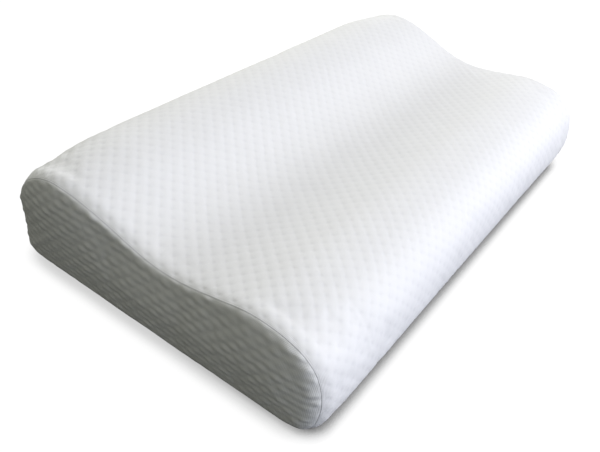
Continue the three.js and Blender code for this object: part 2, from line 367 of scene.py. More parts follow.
def tube(path, radius, sides, up, closed=False):
    """Vertices and faces of a tube along a path. radius may differ from point to point."""
    path = np.asarray(path, float)
    count = len(path)
    if closed:
        ahead = np.roll(path, -1, axis=0) - np.roll(path, 1, axis=0)
    else:
        ahead = np.gradient(path, axis=0)
    ahead /= np.linalg.norm(ahead, axis=1)[:, None]
    side = np.cross(ahead, np.broadcast_to(np.array(up, float), path.shape))
    side /= np.linalg.norm(side, axis=1)[:, None]
    top = np.cross(side, ahead)
    turn = np.arange(sides) * 2 * np.pi / sides
    ring = np.broadcast_to(np.asarray(radius, float), (count,))[:, None, None]
    across, over = np.cos(turn)[None, :, None], np.sin(turn)[None, :, None]
    circle = side[:, None] * across + top[:, None] * over
    vertices = (path[:, None] + ring * circle).reshape(-1, 3)
    faces = []
    for i in range(count if closed else count - 1):
        a, b = i * sides, (i + 1) % count * sides
        faces += [
            (a + j, a + (j + 1) % sides, b + (j + 1) % sides, b + j) for j in range(sides)
        ]
    if not closed:
        faces.append(tuple(range(sides))[::-1])
        faces.append(tuple((count - 1) * sides + j for j in range(sides)))
    return vertices, faces


def quads(grid):
    """Faces between the neighbours in a grid of vertex numbers."""
    corners = [grid[:-1, :-1], grid[:-1, 1:], grid[1:, 1:], grid[1:, :-1]]
    return np.stack(corners, axis=-1).reshape(-1, 4)


def gather(parts):
    """Joins (vertices, faces) pairs into one pair."""
    vertices, faces, start = [], [], 0
    for points, polygons in parts:
        vertices.append(np.asarray(points))
        faces += [tuple(start + i for i in polygon) for polygon in polygons]
        start += len(points)
    return np.vstack(vertices), faces


# ---------- the knit's relief ----------

def lozenges(u, v, repeat, depth):
    """The knit's height in millimetres: soft lozenges with a dimple at each lattice point."""
    a = 0.5 + 0.5 * np.cos(2 * np.pi * (u + v) / repeat)
    b = 0.5 + 0.5 * np.cos(2 * np.pi * (u - v) / repeat)
    return -depth * (0.5 * (a + b) + 0.5 * (a * b) ** 2)


def grains(u, v, repeat, depth):
    """The slacker knit of the end panels: staggered rows of oblong, uneven puffs."""
    across = 2 * np.pi * v / repeat
    along = 2 * np.pi * u / repeat
    leaning = 0.45 * np.cos(along + across) + 0.22 * np.cos(along - across)
    uneven = value_noise(np.c_[u, 2 * v, 0 * u], 0.5 * repeat, 70)
    return depth * (0.48 * np.cos(2 * across) - leaning + 0.55 * uneven)


# ---------- cloth simulation ----------

def settle(made, pins, slack, pressure):
    """Runs Blender's cloth on a coarse copy, held at its pins, and returns how far it moved out."""
    rest = vertex_array(made.data)
    normals = vertex_array(made.data, "normal")
    group = made.vertex_groups.new(name="held")
    group.add([int(i) for i in pins], 1.0, "REPLACE")
    cloth = made.modifiers.new("cloth", "CLOTH")
    settings = cloth.settings
    settings.quality = 6
    settings.mass = 0.25
    settings.tension_stiffness = 25
    settings.compression_stiffness = 25
    settings.shear_stiffness = 8
    settings.bending_stiffness = 0.8
    settings.shrink_min = -slack
    settings.vertex_group_mass = "held"
    settings.use_pressure = True
    settings.uniform_pressure_force = pressure
    settings.effector_weights.gravity = 0
    cloth.point_cache.frame_start = 1
    cloth.point_cache.frame_end = CLOTH_FRAMES
    scene = bpy.context.scene
    for number in range(1, CLOTH_FRAMES + 1):
        scene.frame_set(number)
    evaluated = made.evaluated_get(bpy.context.evaluated_depsgraph_get())
    moved = vertex_array(evaluated.data)
    outwards = np.sum((moved - rest) * normals, axis=1) / MM
    scene.frame_set(1)
    bpy.data.objects.remove(made)
    return np.clip(outwards, -CLOTH_CAP, CLOTH_CAP)


# ---------- the cover's wrap and the liner's ----------

def grid_faces(rows, columns, missing=None):
    """Quads of a grid that closes on itself round its rows."""
    grid = np.arange(rows * columns).reshape(rows, columns)
    faces = quads(np.vstack([grid, grid[:1]]))
    return faces if missing is None else faces[~missing.ravel()]


def wrap_swell():
    """The settled cloth of the wrap: a function of the place round the outline and along it."""
    rows, columns = 110, 76
    s = np.arange(rows) * OUTLINE.length / rows
    part = np.linspace(-1, 1, columns)
    points = on_form(s[:, None], part[None] * seam_x(s)[:, None])
    ripple = value_noise(points.reshape(-1, 3), 30, 7) * 0.4
    made = new_object("wrap_cloth", points.reshape(-1, 3), grid_faces(rows, columns))
    push_out(made, ripple)
    index = np.arange(rows * columns).reshape(rows, columns)
    under = points[..., 2] < 1
    pins = np.unique(np.r_[index[:, 0], index[:, -1], index[under]])
    out = settle(made, pins, WRAP_SLACK, WRAP_PRESSURE).reshape(rows, columns)
    out -= np.median(out[:, columns // 5:-columns // 5], axis=1)[:, None]
    closed = np.vstack([out, out[:1]])
    s_closed = np.r_[s, OUTLINE.length]

    def swell(s_wanted, part_wanted):
        row = np.interp(s_wanted % OUTLINE.length, s_closed, np.arange(rows + 1))
        column = np.interp(part_wanted, part, np.arange(columns))
        r = np.minimum(row.astype(int), rows - 1)
        c = np.minimum(column.astype(int), columns - 2)
        fr, fc = row - r, column - c
        fr, fc = fr * fr * (3 - 2 * fr), fc * fc * (3 - 2 * fc)
        top = closed[r, c] * (1 - fc) + closed[r, c + 1] * fc
        bottom = closed[r + 1, c] * (1 - fc) + closed[r + 1, c + 1] * fc
        return top * (1 - fr) + bottom * fr

    return swell


def wrap_grid(step, under_step, slot=True):
    """Places round and along the wrap, as rows and columns, and the mask of the zipper slot."""
    low = OUTLINE.s_of(ZIP_FACE_Y, ZIP_Z - SLOT_HEIGHT / 2)
    high = OUTLINE.s_of(ZIP_FACE_Y, ZIP_Z + SLOT_HEIGHT / 2)
    front, rear = OUTLINE.s_of(-150, 2), OUTLINE.s_of(150, 2)
    edges = (high, low) if slot else ()
    s = np.r_[
        marks(0, front, under_step)[:-1],
        marks(front, rear, step, fine=edges, exact=edges)[:-1],
        marks(rear, OUTLINE.length, under_step)[:-1],
    ]
    end = float(seam_x(low))
    slot_end = SLOT_LENGTH / 2 / end
    sides = (-slot_end, slot_end) if slot else ()
    fine = (-1, *sides, 1)
    part = marks(-1, 1, step / end, fine, fine_step=0.6 / end, reach=3 / end, exact=sides)
    if not slot:
        return s, part, None
    row = (s[:, None] >= min(edges) - 1e-6) & (s[:, None] < max(edges) - 1e-6)
    column = (part[None, :-1] >= -slot_end - 1e-9) & (part[None, :-1] < slot_end - 1e-9)
    return s, part, row & column


def turn_in(form):
    """Folds every open edge inwards, by the hem's rings."""
    form.normal_update()
    form.faces.ensure_lookup_table()
    outer, outer_normal = form.faces[0], form.faces[0].normal.copy()
    uv = form.loops.layers.uv.active
    rim = [e for e in form.edges if e.is_boundary]
    sides, normals, uvs = {}, {}, {}
    for edge in rim:
        face = edge.link_faces[0]
        away = (edge.verts[0].co + edge.verts[1].co) / 2 - face.calc_center_median()
        span = (edge.verts[1].co - edge.verts[0].co).normalized()
        away -= span * away.dot(span)
        for vert in edge.verts:
            sides[vert] = sides.get(vert, Vector()) + away.normalized()
            normals[vert] = normals.get(vert, Vector()) + face.normal
            uvs[vert] = next(loop[uv].uv.copy() for loop in vert.link_loops)
    places = [vert.co.copy() for vert in sides]
    sides = [v.normalized() for v in sides.values()]
    normals = [v.normalized() for v in normals.values()]
    uvs = list(uvs.values())
    for sideways, inwards in HEM:
        tree = tree_of(places)
        grown = bmesh.ops.extrude_edge_only(form, edges=rim)["geom"]
        for face in (g for g in grown if isinstance(g, bmesh.types.BMFace)):
            for loop in face.loops:
                loop[uv].uv = uvs[tree.find(loop.vert.co)[1]]
        for vert in (g for g in grown if isinstance(g, bmesh.types.BMVert)):
            i = tree.find(vert.co)[1]
            vert.co += (sides[i] * sideways - normals[i] * inwards) * MM
            places[i] = vert.co.copy()
        rim = [g for g in grown if isinstance(g, bmesh.types.BMEdge) and g.is_boundary]
    bmesh.ops.recalc_face_normals(form, faces=form.faces)
    if outer.normal.dot(outer_normal) < 0:
        bmesh.ops.reverse_faces(form, faces=form.faces)


def make_cover_wrap(swell):
    s, part, missing = wrap_grid(WRAP_STEP, UNDERSIDE_STEP)
    x = part[None] * seam_x(s)[:, None]
    points = on_form(s[:, None], x)
    along = over_edge(s[:, None], x)
    rows, columns = along.shape
    around = np.broadcast_to(s[:, None], along.shape)
    uv = np.stack([along, around], axis=-1).reshape(-1, 2)
    faces = grid_faces(rows, columns, missing)
    made = new_object("knit_cover_wrap", points.reshape(-1, 3), faces, uv)

    to_seam = over_edge(s, seam_x(s))[:, None] - np.abs(along)
    y, z = points[..., 1], points[..., 2]
    on_rear = smoothstep(y, ZIP_FACE_Y - 3, ZIP_FACE_Y - 1) * (z < 60)
    past = np.maximum(np.abs(along) - SLOT_LENGTH / 2, np.abs(z - ZIP_Z) - SLOT_HEIGHT / 2)
    under = 1 - smoothstep(z, 0.5, 9)
    quiet = smoothstep(to_seam, 0, 4) * lerp(1, smoothstep(past, 3, 8), on_rear)
    quiet = quiet * lerp(1, 0.35, under)
    slack = 1 + 0.6 * np.exp(-to_seam / 24)
    relief = lozenges(along, around, WRAP_REPEAT, WRAP_RELIEF) * quiet * slack
    relief -= SEAM_GROOVE * np.exp(-(to_seam / SEAM_GROOVE_WIDTH) ** 2)
    relief -= STITCH_GROOVE * on_rear * np.exp(-((past - 2) / 1.1) ** 2)
    relief += SLOT_ROLL * on_rear * np.exp(-((past - 0.3) / 1.2) ** 2)
    wave = value_noise(points.reshape(-1, 3), 46, 3).reshape(rows, columns)
    wave += 0.5 * value_noise(points.reshape(-1, 3), 21, 4).reshape(rows, columns)
    held = smoothstep(to_seam, 0, 25) * smoothstep(z, 1, 32)
    held = held * lerp(1, smoothstep(past, 2, 14), on_rear)
    settled = CLOTH_SHOWN * swell(around, np.broadcast_to(part[None], along.shape))
    relief += (UNEVENNESS * wave + settled) * held
    push_out(made, relief.ravel())
    edit(made, drop_loose)
    edit(made, turn_in)
    return made


def drop_loose(form):
    """Takes away vertices that no face uses."""
    bmesh.ops.delete(form, geom=[v for v in form.verts if not v.link_faces], context="VERTS")


def make_liner_wrap():
    s, part, _ = wrap_grid(LINER_STEP, UNDERSIDE_STEP, slot=False)
    along = part[None] * seam_x(s)[:, None]
    points = on_form(s[:, None], along, LINER_INSET)
    rows, columns = along.shape
    uv = np.stack([along, np.broadcast_to(s[:, None], along.shape)], axis=-1).reshape(-1, 2)
    made = new_object("jersey_liner_wrap", points.reshape(-1, 3), grid_faces(rows, columns), uv)
    push_out(made, 0.2 * value_noise(points.reshape(-1, 3), 18, 11))
    return made


# ---------- end panels ----------

def panel_points(inset, grid, rings):
    """Flat (y, z) points of an end panel: the seam's loop, rings inside it and a grid within."""
    count = round(OUTLINE.length / (grid * 1.05))
    s = np.arange(count) * OUTLINE.length / count
    start = inset + seam_inset(s)
    loops = [np.stack(OUTLINE.at(s, start + ring), axis=-1) for ring in rings]
    ys = np.arange(-LENGTH / 2, LENGTH / 2, grid)
    zs = np.arange(grid / 2, 120, grid)
    flat = np.stack(np.meshgrid(ys, zs, indexing="ij"), axis=-1).reshape(-1, 2)
    flat[:, 1] += (np.round(flat[:, 0] / grid).astype(int) % 2) * grid / 2
    box_low, box_high = loops[0].min(axis=0), loops[0].max(axis=0)
    flat = flat[np.all((flat > box_low) & (flat < box_high), axis=1)]
    depth, place = OUTLINE.nearest(flat[:, 0], flat[:, 1])
    reach = inset + seam_inset(place) + rings[-1] + grid * 0.7
    inside = (depth > reach) & inside_loop(flat, loops[0])
    return loops, flat[inside]


def inside_loop(points, loop):
    """Which points lie inside a closed polygon."""
    x, y = points[:, 0], points[:, 1]
    hit = np.zeros(len(points), bool)
    for (x0, y0), (x1, y1) in zip(loop, np.roll(loop, -1, axis=0)):
        if y0 == y1:
            continue
        crosses = (y0 > y) != (y1 > y)
        hit ^= crosses & (x < x0 + (y - y0) * (x1 - x0) / (y1 - y0))
    return hit


def panel_mesh(name, side, inset, grid, rings):
    """An end panel as a triangle mesh over the flat, bent round the end's edge."""
    loops, inner = panel_points(inset, grid, rings)
    flat = np.vstack([*loops, inner])
    edges = []
    start = 0
    for loop in loops:
        edges += [(start + i, start + (i + 1) % len(loop)) for i in range(len(loop))]
        start += len(loop)
    outer = [list(range(len(loops[0])))]
    made = delaunay_2d_cdt([Vector(p) for p in flat], edges, outer, 1, 1e-5)
    flat = np.array([tuple(v) for v in made[0]])
    depth, place = OUTLINE.nearest(flat[:, 0], flat[:, 1])
    to_seam = depth - inset - seam_inset(place)
    x = side * shrunk_x(panel_x(*flat.T, place, to_seam), inset)
    points = np.c_[reached(x, flat[:, 0]), flat]
    a, b, c = (np.array([f[i] for f in made[2]]) for i in range(3))
    turn = (flat[b, 0] - flat[a, 0]) * (flat[c, 1] - flat[a, 1])
    turn -= (flat[b, 1] - flat[a, 1]) * (flat[c, 0] - flat[a, 0])
    wrong = turn * side < 0
    faces = np.where(wrong[:, None], np.c_[a, c, b], np.c_[a, b, c])
    cloth = np.c_[flat[:, 0], flat[:, 1] - PANEL_SLANT * flat[:, 0]]
    return new_object(name, points, faces, cloth), points, to_seam


def panel_swell(side):
    """The settled cloth of an end panel, as points and how far each moved out."""
    made, points, to_seam = panel_mesh("panel_cloth", side, 0, 6, (0, 4))
    push_out(made, value_noise(points, 24, 20 + side) * 0.5)
    return points, settle(made, np.flatnonzero(to_seam < 0.5), PANEL_SLACK, PANEL_PRESSURE)


def spread(points, values, wanted, near=6):
    """Values at the wanted points, blended from the nearest known ones."""
    tree = tree_of(points)
    result = np.empty(len(wanted))
    for i, point in enumerate(wanted):
        found = tree.find_n(point, near)
        reach = found[-1][2] + 1e-6
        weight = [(1 - f[2] / reach) ** 2 + 1e-6 for f in found]
        result[i] = sum(w * values[f[1]] for w, f in zip(weight, found)) / sum(weight)
    return result


def make_cover_end(label, side):
    rings = (0, 0.6, 1.3, 2.2, 3.3)
    made, points, to_seam = panel_mesh(f"knit_cover_end_{label}", side, 0, PANEL_STEP, rings)
    along = points[:, 1] + 0.7 * value_noise(points, 23, 50 + side)
    across = points[:, 2] - PANEL_SLANT * points[:, 1] + 0.6 * value_noise(points, 19, 54 + side)
    depth = PANEL_RELIEF * (1 + 0.35 * value_noise(points, 9, 58 + side))
    relief = grains(along, across, PANEL_REPEAT, depth)
    relief = relief * smoothstep(to_seam, 0, 2) * smoothstep(points[:, 2], 5, 22)
    relief -= SEAM_GROOVE * np.exp(-(to_seam / SEAM_GROOVE_WIDTH) ** 2)
    held = smoothstep(to_seam, 0, 14)
    relief += UNEVENNESS * value_noise(points, 30, 40 + side) * held
    relief += PANEL_CROWN * (1 - (1 - np.clip(to_seam / to_seam.max(), 0, 1)) ** 2)
    relief += CLOTH_SHOWN * spread(*panel_swell(side), points) * held
    push_out(made, relief)
    edit(made, turn_in)
    return made


def make_liner_end(label, side):
    name = f"jersey_liner_end_{label}"
    made, points, _ = panel_mesh(name, side, LINER_INSET, LINER_END_STEP, (0, 1.6))
    push_out(made, 0.15 * value_noise(points, 12, 60 + side))
    return made


def panel_area():
    """The flat area of a cover end panel, in square metres."""
    y, z = OUTLINE.at(OUTLINE.s, seam_inset(OUTLINE.s))
    twice = np.sum(y * np.roll(z, -1) - z * np.roll(y, -1))
    return abs(twice) / 2 * MM**2


# ---------- the end seams ----------

def make_welt(label, side):
    """The raised sewn seam: a fine bead round each end, pulled in a little at every stitch."""
    pitch, steps_each = 3.2, 6
    steps = round(OUTLINE.length / pitch) * steps_each
    s = np.arange(steps) * OUTLINE.length / steps
    path = on_form(s, side * seam_x(s), WELT_DEPTH)
    turn = 2 * np.pi * np.arange(steps) / steps_each
    radius = WELT_RADIUS * (1 + 0.10 * np.cos(turn))
    bead = tube(path, radius, sides=10, up=(1, 0, 0), closed=True)
    return new_object(f"knit_seam_welt_{label}", *bead)


# ---------- zipper ----------

def merge_flats(form):
    """Joins the triangles of each flat face."""
    flat = math.radians(1)
    bmesh.ops.remove_doubles(form, verts=form.verts, dist=1e-6)
    bmesh.ops.dissolve_limit(form, angle_limit=flat, verts=form.verts, edges=form.edges)


def copied(name, node, bevel):
    """A finer piece in a CAD node's shape: its edges are rounded."""
    made = from_node(name, node)
    edit(made, merge_flats)
    edge = made.modifiers.new("edge", "BEVEL")
    edge.width = bevel * MM
    edge.segments = 3
    edge.limit_method = "ANGLE"
    edge.angle_limit = math.radians(35)
    apply_modifiers(made)
    made.data.shade_smooth()
    made.data.update()
    made.modifiers.new("shade", "WEIGHTED_NORMAL").keep_sharp = False
    return apply_modifiers(made)


def node_box(node):
    low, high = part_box(node)
    return np.array(low) / MM, np.array(high) / MM


def make_tape(label):
    """A zipper tape: twill ribbon with a woven ridge beside the coil and a bound edge."""
    low, high = node_box(f"zipper_tape_{label}")
    side = 1 if label == "upper" else -1
    xs = np.arange(low[0], high[0] + 0.5, 1.0)
    xs[-1] = high[0]
    across = np.linspace(0, 1, 23)
    x, t = np.meshgrid(xs, across, indexing="ij")
    z = np.where(side > 0, low[2] + t * (high[2] - low[2]), high[2] - t * (high[2] - low[2]))
    ridge = 0.14 * np.exp(-((t - 0.30) / 0.025) ** 2) + 0.10 * np.exp(-((t - 0.95) / 0.03) ** 2)
    twill = 0.035 * np.cos(2 * np.pi * (x / 1.9 + t * 3.5))
    front = high[1] - 0.2 + ridge + twill
    back = np.full_like(front, low[1] + 0.02)
    rows, columns = x.shape
    grid = np.arange(rows * columns).reshape(rows, columns)
    faces = quads(grid)
    other = faces[:, ::-1] + rows * columns
    rim = np.r_[grid[:, 0], grid[-1, 1:], grid[-2::-1, -1], grid[0, -2:0:-1]]
    after = np.roll(rim, -1)
    sides = np.stack([rim, rim + rows * columns, after + rows * columns, after], axis=1)
    points = np.vstack([np.stack([x, y, z], -1).reshape(-1, 3) for y in (front, back)])
    uv = np.tile(np.stack([x, z], -1).reshape(-1, 2), (2, 1))
    made = new_object(f"twill_zipper_tape_{label}", points, np.vstack([faces, other, sides]), uv)
    edit(made, lambda form: bmesh.ops.recalc_face_normals(form, faces=form.faces))
    return made


def make_coil(label):
    """One half of the zipper's chain: a flattened helix of nylon monofilament."""
    low, high = node_box(f"zipper_coil_{label}")
    side = 1 if label == "upper" else -1
    pitch, wire, points_each = 1.5, 0.29, 14
    turns = int((high[0] - low[0] - 2 * wire) / pitch)
    angle = np.linspace(0, 2 * np.pi * turns, turns * points_each)
    reach = 0.35  # how far each head passes the middle to lie between the other half's heads
    near = ZIP_Z - side * reach
    far = high[2] if side > 0 else low[2]
    middle, half = (near + far) / 2, abs(far - near) / 2 - wire
    x = low[0] + wire + pitch * angle / (2 * np.pi) + (0 if side > 0 else pitch / 2)
    y = (low[1] + high[1]) / 2 + ((high[1] - low[1]) / 2 - wire) * np.sin(angle)
    z = middle - side * half * np.cos(angle)
    thick = wire * (1 + 0.18 * np.maximum(np.cos(angle), 0) ** 4)
    helix = tube(np.c_[x, y, z], thick, sides=6, up=(1, 0, 0))
    return new_object(f"nylon_zipper_coil_{label}", *helix)


def stitch(a, b, lift, thickness):
    """One thread stitch from a to b: it rises off the cloth in its middle and dives at its ends."""
    t = np.linspace(0, 1, 7)
    arch = np.sin(np.pi * t)
    path = a[None] * (1 - t[:, None]) + b[None] * t[:, None]
    path[:, 1] += lift * (arch**0.6) - 0.45
    return tube(path, thickness * (0.75 + 0.25 * arch), sides=6, up=(0.3, 0.1, 1))


def make_topstitch():
    low, high = node_box("zipper_topstitch")
    pitch, length, thickness = 3.0, 2.35, 0.26
    corners = [(low[0], low[2]), (high[0], low[2]), (high[0], high[2]), (low[0], high[2])]
    parts = []
    for (x0, z0), (x1, z1) in zip(corners, corners[1:] + corners[:1]):
        run = math.hypot(x1 - x0, z1 - z0)
        count = round(run / pitch)
        direction = np.array([x1 - x0, 0, z1 - z0]) / run
        for i in range(count):
            start = np.array([x0, low[1], z0]) + direction * ((i + 0.5) * run / count - length / 2)
            parts.append(stitch(start, start + direction * length, 0.55, thickness))
    return new_object("thread_zipper_topstitch", *gather(parts))


def make_bar_tack(label):
    low, high = node_box(f"bar_tack_{label}")
    rows = 17
    parts = []
    for i in range(rows):
        z = lerp(low[2] + 0.3, high[2] - 0.3, i / (rows - 1))
        slant = 0.3 if i % 2 else -0.3
        a = np.array([low[0] - 0.35, low[1], z - slant])
        b = np.array([high[0] + 0.35, low[1], z + slant])
        parts.append(stitch(a, b, 0.75, 0.3))
    return new_object(f"thread_bar_tack_{label}", *gather(parts))


def make_label():
    """A blank satin label, sewn down at its side, its free edge lifting a little."""
    low, high = node_box("care_label")
    columns, rows = 57, 53
    u, v = np.meshgrid(np.linspace(0, 1, columns), np.linspace(0, 1, rows), indexing="ij")
    x = high[0] - u * (high[0] - low[0])
    z = lerp(low[2], high[2], v)
    lift = 0.12 + 1.6 * smoothstep(u, 0.2, 1) ** 2 * (0.75 + 0.25 * np.cos(2 * np.pi * v))
    hem = 0.18 * (np.exp(-((v - 0.04) / 0.03) ** 2) + np.exp(-((v - 0.96) / 0.03) ** 2))
    y = low[1] - 0.1 + lift + hem + 0.05 * np.cos(2 * np.pi * (v * 2 + u))
    grid = np.arange(columns * rows).reshape(columns, rows)
    uv = np.stack([x, z], -1).reshape(-1, 2)
    points = np.stack([x, y, z], -1).reshape(-1, 3)
    made = new_object("satin_care_label", points, quads(grid), uv)
    thick = made.modifiers.new("thickness", "SOLIDIFY")
    thick.thickness = 0.22 * MM
    thick.offset = -1
    return apply_modifiers(made)


# ---------- the foam core ----------

def make_foam():
    """The moulded core: the CAD form with a finely uneven, open-celled skin."""
    made = from_node("moulded_foam_core", "foam_core")
    remesh = made.modifiers.new("even", "REMESH")
    remesh.mode = "VOXEL"
    remesh.voxel_size = 3.4 * MM
    smooth = made.modifiers.new("soft", "SMOOTH")
    smooth.iterations = 6
    smooth.factor = 0.5
    apply_modifiers(made)
    made.data.shade_smooth()
    points = vertex_array(made.data) / MM
    depth, place = OUTLINE.nearest(points[:, 1], points[:, 2])
    x = np.clip(np.abs(points[:, 0]), 0, seam_x(place))
    points[:, 1], points[:, 2] = OUTLINE.at(place, np.maximum(depth, sunk(place, x) + FOAM_INSET))
    farthest = panel_x(points[:, 1], points[:, 2], place, depth - seam_inset(place)) - FOAM_INSET
    points[:, 0] = np.clip(points[:, 0], -farthest, farthest)
    made.data.vertices.foreach_set("co", (points * MM).ravel())
    made.data.update()
    push_out(made, 0.25 * value_noise(points, 60, 80) + 0.12 * value_noise(points, 9, 81))
    return made


# ---------- materials ----------

class Nodes:
    """A short way to write the node tree of a material or of the world."""

    def __init__(self, name, kind=bpy.data.materials):
        self.made = kind.new(name)
        self.made.use_nodes = True
        self.tree = self.made.node_tree
        self.shader = self.tree.nodes.get("Principled BSDF")

    def new(self, kind, **values):
        node = self.tree.nodes.new(kind)
        for key, value in values.items():
            setattr(node, key, value)
        return node

    def feed(self, socket, source):
        if hasattr(source, "is_linked"):
            self.tree.links.new(source, socket)
        else:
            socket.default_value = source

    def math(self, operation, *inputs):
        node = self.new("ShaderNodeMath", operation=operation)
        for socket, source in zip(node.inputs, inputs):
            self.feed(socket, source)
        return node.outputs[0]

    def texture(self, kind, scale, coordinate=None, **values):
        node = self.new(f"ShaderNodeTex{kind}", **values)
        node.inputs["Scale"].default_value = scale
        self.feed(node.inputs["Vector"], coordinate or self.place())
        return node

    def noise(self, scale, detail=3, coordinate=None):
        node = self.texture("Noise", scale, coordinate)
        node.inputs["Detail"].default_value = detail
        return node.outputs["Fac"]

    def place(self):
        return self.new("ShaderNodeTexCoord").outputs["Object"]

    def cloth_place(self):
        """The two coordinates on the flat cloth, in millimetres."""
        uv = self.new("ShaderNodeUVMap", uv_map="cloth").outputs[0]
        parts = self.new("ShaderNodeSeparateXYZ")
        self.feed(parts.inputs[0], uv)
        u = self.math("MULTIPLY", parts.outputs[0], 1 / MM)
        v = self.math("MULTIPLY", parts.outputs[1], 1 / MM)
        return u, v

    def wave(self, value, period, phase=0.0):
        """A cosine of the value with the period, from 0 to 1."""
        turn = self.math("MULTIPLY_ADD", value, 2 * math.pi / period, phase)
        return self.math("MULTIPLY_ADD", self.math("COSINE", turn), 0.5, 0.5)

    def ramp(self, fac, *stops):
        node = self.new("ShaderNodeValToRGB")
        elements = node.color_ramp.elements
        for i, (position, color) in enumerate(stops):
            element = elements[i] if i < 2 else elements.new(position)
            element.position = position
            element.color = (*color, 1)
        self.feed(node.inputs[0], fac)
        return node.outputs[0]

    def range(self, value, low, high, to_low, to_high):
        node = self.new("ShaderNodeMapRange")
        for socket, source in zip(node.inputs, (value, low, high, to_low, to_high)):
            self.feed(socket, source)
        return node.outputs[0]

    def bump(self, height, distance):
        node = self.new("ShaderNodeBump")
        node.inputs["Distance"].default_value = distance * MM
        self.feed(node.inputs["Height"], height)
        self.feed(self.shader.inputs["Normal"], node.outputs[0])

    def set(self, **values):
        names = {"color": "Base Color", "rough": "Roughness", "metal": "Metallic",
                 "sheen": "Sheen Weight", "sheen_rough": "Sheen Roughness",
                 "specular": "Specular IOR Level", "coat": "Coat Weight"}
        for key, value in values.items():
            self.feed(self.shader.inputs[names[key]], value)
        return self.made


def knit_material(name, repeat, relief, bright, shade, hollow_shade_strength):
    """Double-knit jacquard: fine V-shaped loops, a lozenge relief and shade painted greyer into its
    dimples and channels.
    """
    n = Nodes(name)
    u, v = n.cloth_place()
    wale, course = 1.15, 0.85
    across = n.math("PINGPONG", n.math("DIVIDE", u, wale), 0.5)
    lean = n.math("MULTIPLY_ADD", across, 0.7 * course, v)
    loops = n.math("MULTIPLY", n.wave(lean, course), n.math("POWER", n.wave(u, wale, math.pi), 0.6))
    a = n.wave(n.math("ADD", u, v), repeat)
    b = n.wave(n.math("SUBTRACT", u, v), repeat)
    dimple = n.math("POWER", n.math("MULTIPLY", a, b), 2.2)
    channel = n.math("ADD", n.math("POWER", a, 7), n.math("POWER", b, 7))
    mottle = n.noise(38, 4)
    fuzz = n.noise(1900, 2)
    # Painted shade: the dimples and channels are coloured greyer, as if shade lay in them.
    painted_channel_shade = n.math("MULTIPLY", channel, 0.14 * hollow_shade_strength)
    painted_hollow_shade = n.math("MULTIPLY_ADD", dimple, 0.55 * hollow_shade_strength, painted_channel_shade)
    tone = n.math("ADD", n.math("MULTIPLY", painted_hollow_shade, 0.4), n.math("MULTIPLY_ADD", mottle, 0.3, -0.1))
    tone = n.math("ADD", tone, n.math("MULTIPLY_ADD", loops, -0.12, 0.08))
    color = n.ramp(tone, (0.0, bright), (1.0, shade))
    height = n.math("MULTIPLY_ADD", dimple, -relief, n.math("MULTIPLY", channel, -0.3 * relief))
    height = n.math("ADD", height, n.math("MULTIPLY", loops, 0.12))
    height = n.math("ADD", height, n.math("MULTIPLY", fuzz, 0.06))
    n.bump(height, 1.0)
    rough = n.range(mottle, 0.3, 0.7, 0.86, 0.96)
    return n.set(color=color, rough=rough, sheen=0.12, sheen_rough=0.5, specular=0.25)


def weave_material(name, warp, weft, bright, shade, rough, sheen=0.2, depth=0.12):
    """A plain or twill weave whose threads are warp and weft apart."""
    n = Nodes(name)
    u, v = n.cloth_place()
    over = n.wave(n.math("MULTIPLY_ADD", v, warp / weft, u), warp * 2)
    threads = n.math("MAXIMUM", n.math("MULTIPLY", n.wave(u, warp), over),
                     n.math("MULTIPLY", n.wave(v, weft), n.math("SUBTRACT", 1.0, over)))
    mottle = n.noise(60, 3)
    tone = n.math("MULTIPLY_ADD", mottle, 0.4, n.math("MULTIPLY_ADD", threads, -0.35, 0.3))
    n.bump(threads, depth)
    color = n.ramp(tone, (0.0, bright), (1.0, shade))
    return n.set(color=color, rough=rough, sheen=sheen, specular=0.3)


def welt_material():
    n = Nodes("welt_knit")
    place = n.place()
    ribs = n.noise(900, 2, place)
    mottle = n.noise(120, 3, place)
    n.bump(ribs, 0.25)
    # Painted shade: the welt is coloured greyer than the cover's knit, so that the seam shows as
    # the dark line of its groove's shade.
    color = n.ramp(mottle, (0.25, (0.64, 0.64, 0.65)), (0.75, (0.57, 0.57, 0.58)))
    return n.set(color=color, rough=n.range(ribs, 0.3, 0.7, 0.82, 0.95), sheen=0.15, specular=0.25)


def thread_material():
    """Twisted sewing thread: fine slanting plies."""
    n = Nodes("polyester_thread")
    plies = n.texture("Wave", 900, wave_type="BANDS", bands_direction="DIAGONAL")
    plies.inputs["Distortion"].default_value = 1.5
    color = n.ramp(plies.outputs["Fac"], (0.2, (0.70, 0.70, 0.71)), (0.8, (0.84, 0.84, 0.85)))
    n.bump(plies.outputs["Fac"], 0.08)
    rough = n.range(n.noise(300), 0.3, 0.7, 0.45, 0.6)
    return n.set(color=color, rough=rough, sheen=0.2, specular=0.4)


def foam_material():
    """Cream viscoelastic foam: open cells of many sizes, a few larger pores."""
    n = Nodes("viscoelastic_foam")
    place = n.place()
    cells = n.texture("Voronoi", 700, place, feature="F1")
    pores = n.texture("Voronoi", 120, place, feature="SMOOTH_F1")
    big = n.math("GREATER_THAN", 0.16, pores.outputs["Distance"])
    mottle = n.noise(22, 4, place)
    height = n.math("ADD", cells.outputs["Distance"], n.math("MULTIPLY", big, -0.8))
    # Painted shade: the larger pores are coloured darker, as if in shade; the mottle is the foam's
    # own uneven tone.
    tone = n.math("ADD", n.math("MULTIPLY", mottle, 0.6), n.math("MULTIPLY", big, 0.35))
    color = n.ramp(tone, (0.2, (0.90, 0.85, 0.70)), (0.9, (0.78, 0.71, 0.54)))
    n.bump(height, 0.5)
    return n.set(color=color, rough=n.range(mottle, 0.3, 0.7, 0.85, 0.97), specular=0.2)


def nylon_material():
    n = Nodes("nylon_monofilament")
    streak = n.noise(420, 2)
    n.bump(streak, 0.03)
    color = n.ramp(streak, (0.3, (0.84, 0.84, 0.84)), (0.7, (0.76, 0.77, 0.78)))
    return n.set(color=color, rough=n.range(streak, 0.3, 0.7, 0.28, 0.42), specular=0.5, coat=0.15)


